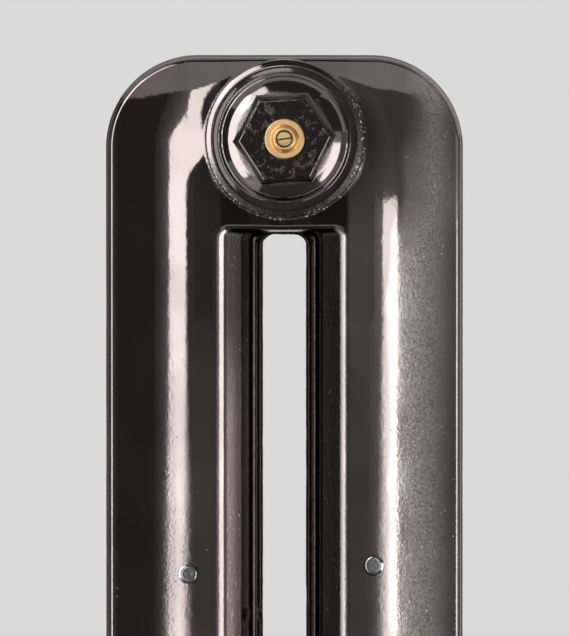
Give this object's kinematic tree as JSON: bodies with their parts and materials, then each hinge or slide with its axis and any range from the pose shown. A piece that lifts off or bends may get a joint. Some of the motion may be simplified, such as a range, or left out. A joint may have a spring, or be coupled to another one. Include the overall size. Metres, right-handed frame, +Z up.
{
  "type": "column radiator",
  "caption": "Column radiator in polished cast iron: hollow sections joined on screwed nipples, hex end plugs, valve bushes and a brass air vent with a slotted bleed screw.",
  "frame": {"origin": "on the floor, under the middle of the radiator's overall box", "axes": "+X across the columns (the radiator's depth off the wall), +Y along the radiator away from the end with the air vent, +Z up"},
  "size_m": [0.145, 0.211, 0.66],
  "materials": {
    "iron": "burnished and clear-lacquered, with fine casting pits",
    "nipple_iron": "machined malleable iron",
    "plug_iron": "polished flange, rough dark cast hexagon face",
    "steel": "ground flush with the polished face",
    "brass": "turned, satin",
    "screw_brass": "turned, slotted",
    "seal_rubber": "moulded black rubber"
  },
  "bodies": {
    "radiator": {"front_section": "iron", "middle_section_1": "iron", "rear_section": "iron", "core_pins": "steel", "joint_1_nipples": "nipple_iron", "joint_2_nipples": "nipple_iron", "vent_plug": "plug_iron", "blank_plug": "plug_iron", "valve_bushes": "plug_iron", "vent_body": "brass"},
    "seal": {"seat_seal": "seal_rubber"},
    "screw": {"bleed_screw": "screw_brass"}
  },
  "joints": [
    {"name": "bleed_screw_lift", "type": "slide", "parent": "radiator", "child": "seal", "axis": [0, -1, 0], "range_m": [0, 0.002]},
    {"name": "bleed_screw_turn", "type": "hinge", "parent": "seal", "child": "screw", "pos_m": [0, -0.0992, 0.626], "axis": [0, -1, 0], "range_deg": [0, 721]}
  ],
  "couplings": [
    {"joint": "bleed_screw_turn", "follows": "bleed_screw_lift", "rad_per_m": 6283.2}
  ]
}
